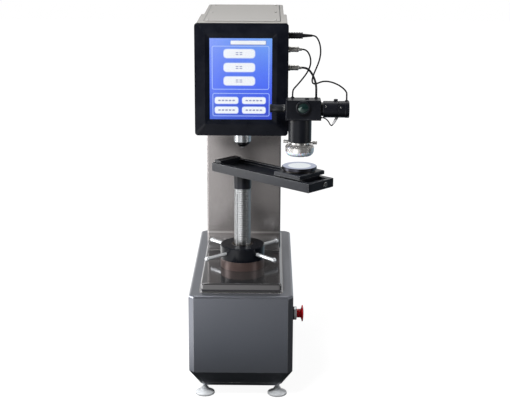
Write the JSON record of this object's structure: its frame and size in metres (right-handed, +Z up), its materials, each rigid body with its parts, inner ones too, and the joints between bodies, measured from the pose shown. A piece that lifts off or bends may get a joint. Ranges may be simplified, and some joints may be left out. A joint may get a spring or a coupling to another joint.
{
  "type": "hardness tester",
  "caption": "Bench hardness tester with screw-raised sliding anvil, ball indenter, measuring microscope, touch screen and side stop button.",
  "frame": {"origin": "on the floor plane of the feet, under the common axis of the indenter and the elevating screw", "axes": "+Z up along the load axis, -Y towards the operator, +X to the operator's right where the microscope stands"},
  "size_m": [0.3975, 0.6358, 0.9625],
  "materials": {
    "painted_base": "satin charcoal powder coat",
    "painted_column": "glossy brown grey metallic",
    "painted_head": "satin warm light grey",
    "gloss_black": "polished black moulding",
    "matte_black": "fine matt moulding",
    "screen_glass": "clear touch glass",
    "display": "lit display module",
    "black_steel": "blacked and oiled steel",
    "machined_steel": "turned and ground",
    "polished_steel": "polished hard steel",
    "chrome_bars": "bright chrome plate",
    "copper_ring": "burnished copper bronze",
    "grey_iron": "machined iron, primed",
    "bronze": "plain bronze",
    "black_aluminium": "black anodised",
    "warm_silver": "champagne anodised",
    "frosted": "frosted translucent",
    "coated_glass": "coated optical glass",
    "nickel": "nickel plate",
    "lead_jacket": "smooth black jacket",
    "grey_rubber": "light grey sleeve",
    "button_red": "glossy signal red",
    "foot_zinc": "zinc plated"
  },
  "bodies": {
    "frame": {"base_housing": "painted_base", "base_plate": "painted_base", "plinth_plate": "painted_base", "column": "painted_column", "head_shell": "painted_head", "top_cover": "painted_head", "rear_cover": "painted_head", "screen_bezel": "gloss_black", "touch_glass": "screen_glass", "display_panel": "display", "screw_guide": "bronze", "bearing_ring": "copper_ring", "press_frame": "grey_iron", "spindle_guide": "machined_steel", "drive_motor": "matte_black", "microscope_arm": "black_aluminium", "microscope_tube": "black_aluminium", "objective": "warm_silver", "optics_box": "black_aluminium", "camera_barrel": "black_aluminium", "camera_gland": "grey_rubber", "ring_light_body": "warm_silver", "ring_light_diffuser": "frosted", "panel_sockets": "nickel", "black_plug": "matte_black", "upper_silver_plug": "nickel", "lower_silver_plug": "nickel", "black_lead": "lead_jacket", "upper_lead": "lead_jacket", "lower_lead": "lead_jacket", "camera_lead": "lead_jacket", "estop_collar": "matte_black", "power_inlet": "matte_black"},
    "handwheel": {"handwheel_hub": "gloss_black", "handwheel_spokes": "chrome_bars", "lifting_nut": "bronze"},
    "screw": {"elevating_screw": "machined_steel", "stage_neck": "black_steel", "stage_rail": "black_steel", "rail_end_stop": "black_steel"},
    "slide_carriage": {"carriage": "black_steel", "anvil_seat": "copper_ring", "anvil_disc": "polished_steel"},
    "load_spindle": {"spindle": "machined_steel", "load_cell": "machined_steel", "indenter_nut": "black_steel", "indenter_ball": "polished_steel"},
    "drive": {"drive_screw": "machined_steel"},
    "stop_stem": {"estop_stem": "machined_steel"},
    "stop_head": {"estop_button": "button_red"},
    "drum": {"measuring_drum": "black_aluminium"},
    "eyepiece": {"eyepiece_ring": "black_aluminium", "eyepiece_glass": "coated_glass"},
    "left_screw": {"left_thumbscrew": "nickel"},
    "right_screw": {"right_thumbscrew": "nickel"},
    "rocker": {"rocker_switch": "gloss_black"},
    "front_left_level": {"front_left_foot": "foot_zinc"},
    "front_right_level": {"front_right_foot": "foot_zinc"},
    "rear_left_level": {"rear_left_foot": "foot_zinc"},
    "rear_right_level": {"rear_right_foot": "foot_zinc"}
  },
  "joints": [
    {"name": "handwheel_turn", "type": "hinge", "parent": "frame", "child": "handwheel", "pos_m": [0, 0, 0.3503], "axis": [0, 0, 1], "range_deg": [-576, 10800]},
    {"name": "screw_lift", "type": "slide", "parent": "frame", "child": "screw", "axis": [0, 0, 1], "range_m": [-0.1501, 0.0081]},
    {"name": "carriage_slide", "type": "slide", "parent": "screw", "child": "slide_carriage", "axis": [0.7314, -0.682, 0], "range_m": [-0.198, 0]},
    {"name": "spindle_press", "type": "slide", "parent": "frame", "child": "load_spindle", "axis": [0, 0, 1], "range_m": [-0.006, 0]},
    {"name": "drive_turn", "type": "hinge", "parent": "frame", "child": "drive", "pos_m": [0, 0, 0.83], "axis": [0, 0, 1], "range_deg": [0, 1081]},
    {"name": "stop_push", "type": "slide", "parent": "frame", "child": "stop_stem", "axis": [1, 0, 0], "range_m": [-0.0045, 0], "stiffness_N_per_m": 2000},
    {"name": "stop_release_twist", "type": "hinge", "parent": "stop_stem", "child": "stop_head", "pos_m": [0.133, -0.056, 0.1935], "axis": [1, 0, 0], "range_deg": [-35, 0], "stiffness_Nm_per_rad": 0.05},
    {"name": "drum_turn", "type": "hinge", "parent": "frame", "child": "drum", "pos_m": [0.09, -0.14, 0.7575], "axis": [1, 0, 0], "range_deg": [-1440, 1440]},
    {"name": "eyepiece_focus", "type": "hinge", "parent": "frame", "child": "eyepiece", "pos_m": [0.151, -0.163, 0.7635], "axis": [0, 1, 0], "range_deg": [-90, 90]},
    {"name": "left_thumbscrew_turn", "type": "hinge", "parent": "frame", "child": "left_screw", "pos_m": [0.14481, -0.13504, 0.6707], "axis": [-0.9205, 0.3907, 0], "range_deg": [0, 720]},
    {"name": "right_thumbscrew_turn", "type": "hinge", "parent": "frame", "child": "right_screw", "pos_m": [0.14481, -0.13504, 0.6707], "axis": [1, 0, 0], "range_deg": [0, 720]},
    {"name": "rocker_tilt", "type": "hinge", "parent": "frame", "child": "rocker", "pos_m": [-0.075, 0.4136, 0.139], "axis": [0, 0, 1], "range_deg": [-12, 0]},
    {"name": "front_left_foot_turn", "type": "hinge", "parent": "frame", "child": "front_left_level", "pos_m": [-0.0943, -0.137, 0.02], "axis": [0, 0, 1], "range_deg": [-720, 720]},
    {"name": "front_right_foot_turn", "type": "hinge", "parent": "frame", "child": "front_right_level", "pos_m": [0.0943, -0.137, 0.02], "axis": [0, 0, 1], "range_deg": [-720, 720]},
    {"name": "rear_left_foot_turn", "type": "hinge", "parent": "frame", "child": "rear_left_level", "pos_m": [-0.0943, 0.3642, 0.02], "axis": [0, 0, 1], "range_deg": [-720, 720]},
    {"name": "rear_right_foot_turn", "type": "hinge", "parent": "frame", "child": "rear_right_level", "pos_m": [0.0943, 0.3642, 0.02], "axis": [0, 0, 1], "range_deg": [-720, 720]}
  ],
  "couplings": [
    {"joint": "screw_lift", "follows": "handwheel_turn", "m_per_rad": -0.00079577},
    {"joint": "drive_turn", "follows": "spindle_press", "rad_per_m": -3141.6}
  ]
}
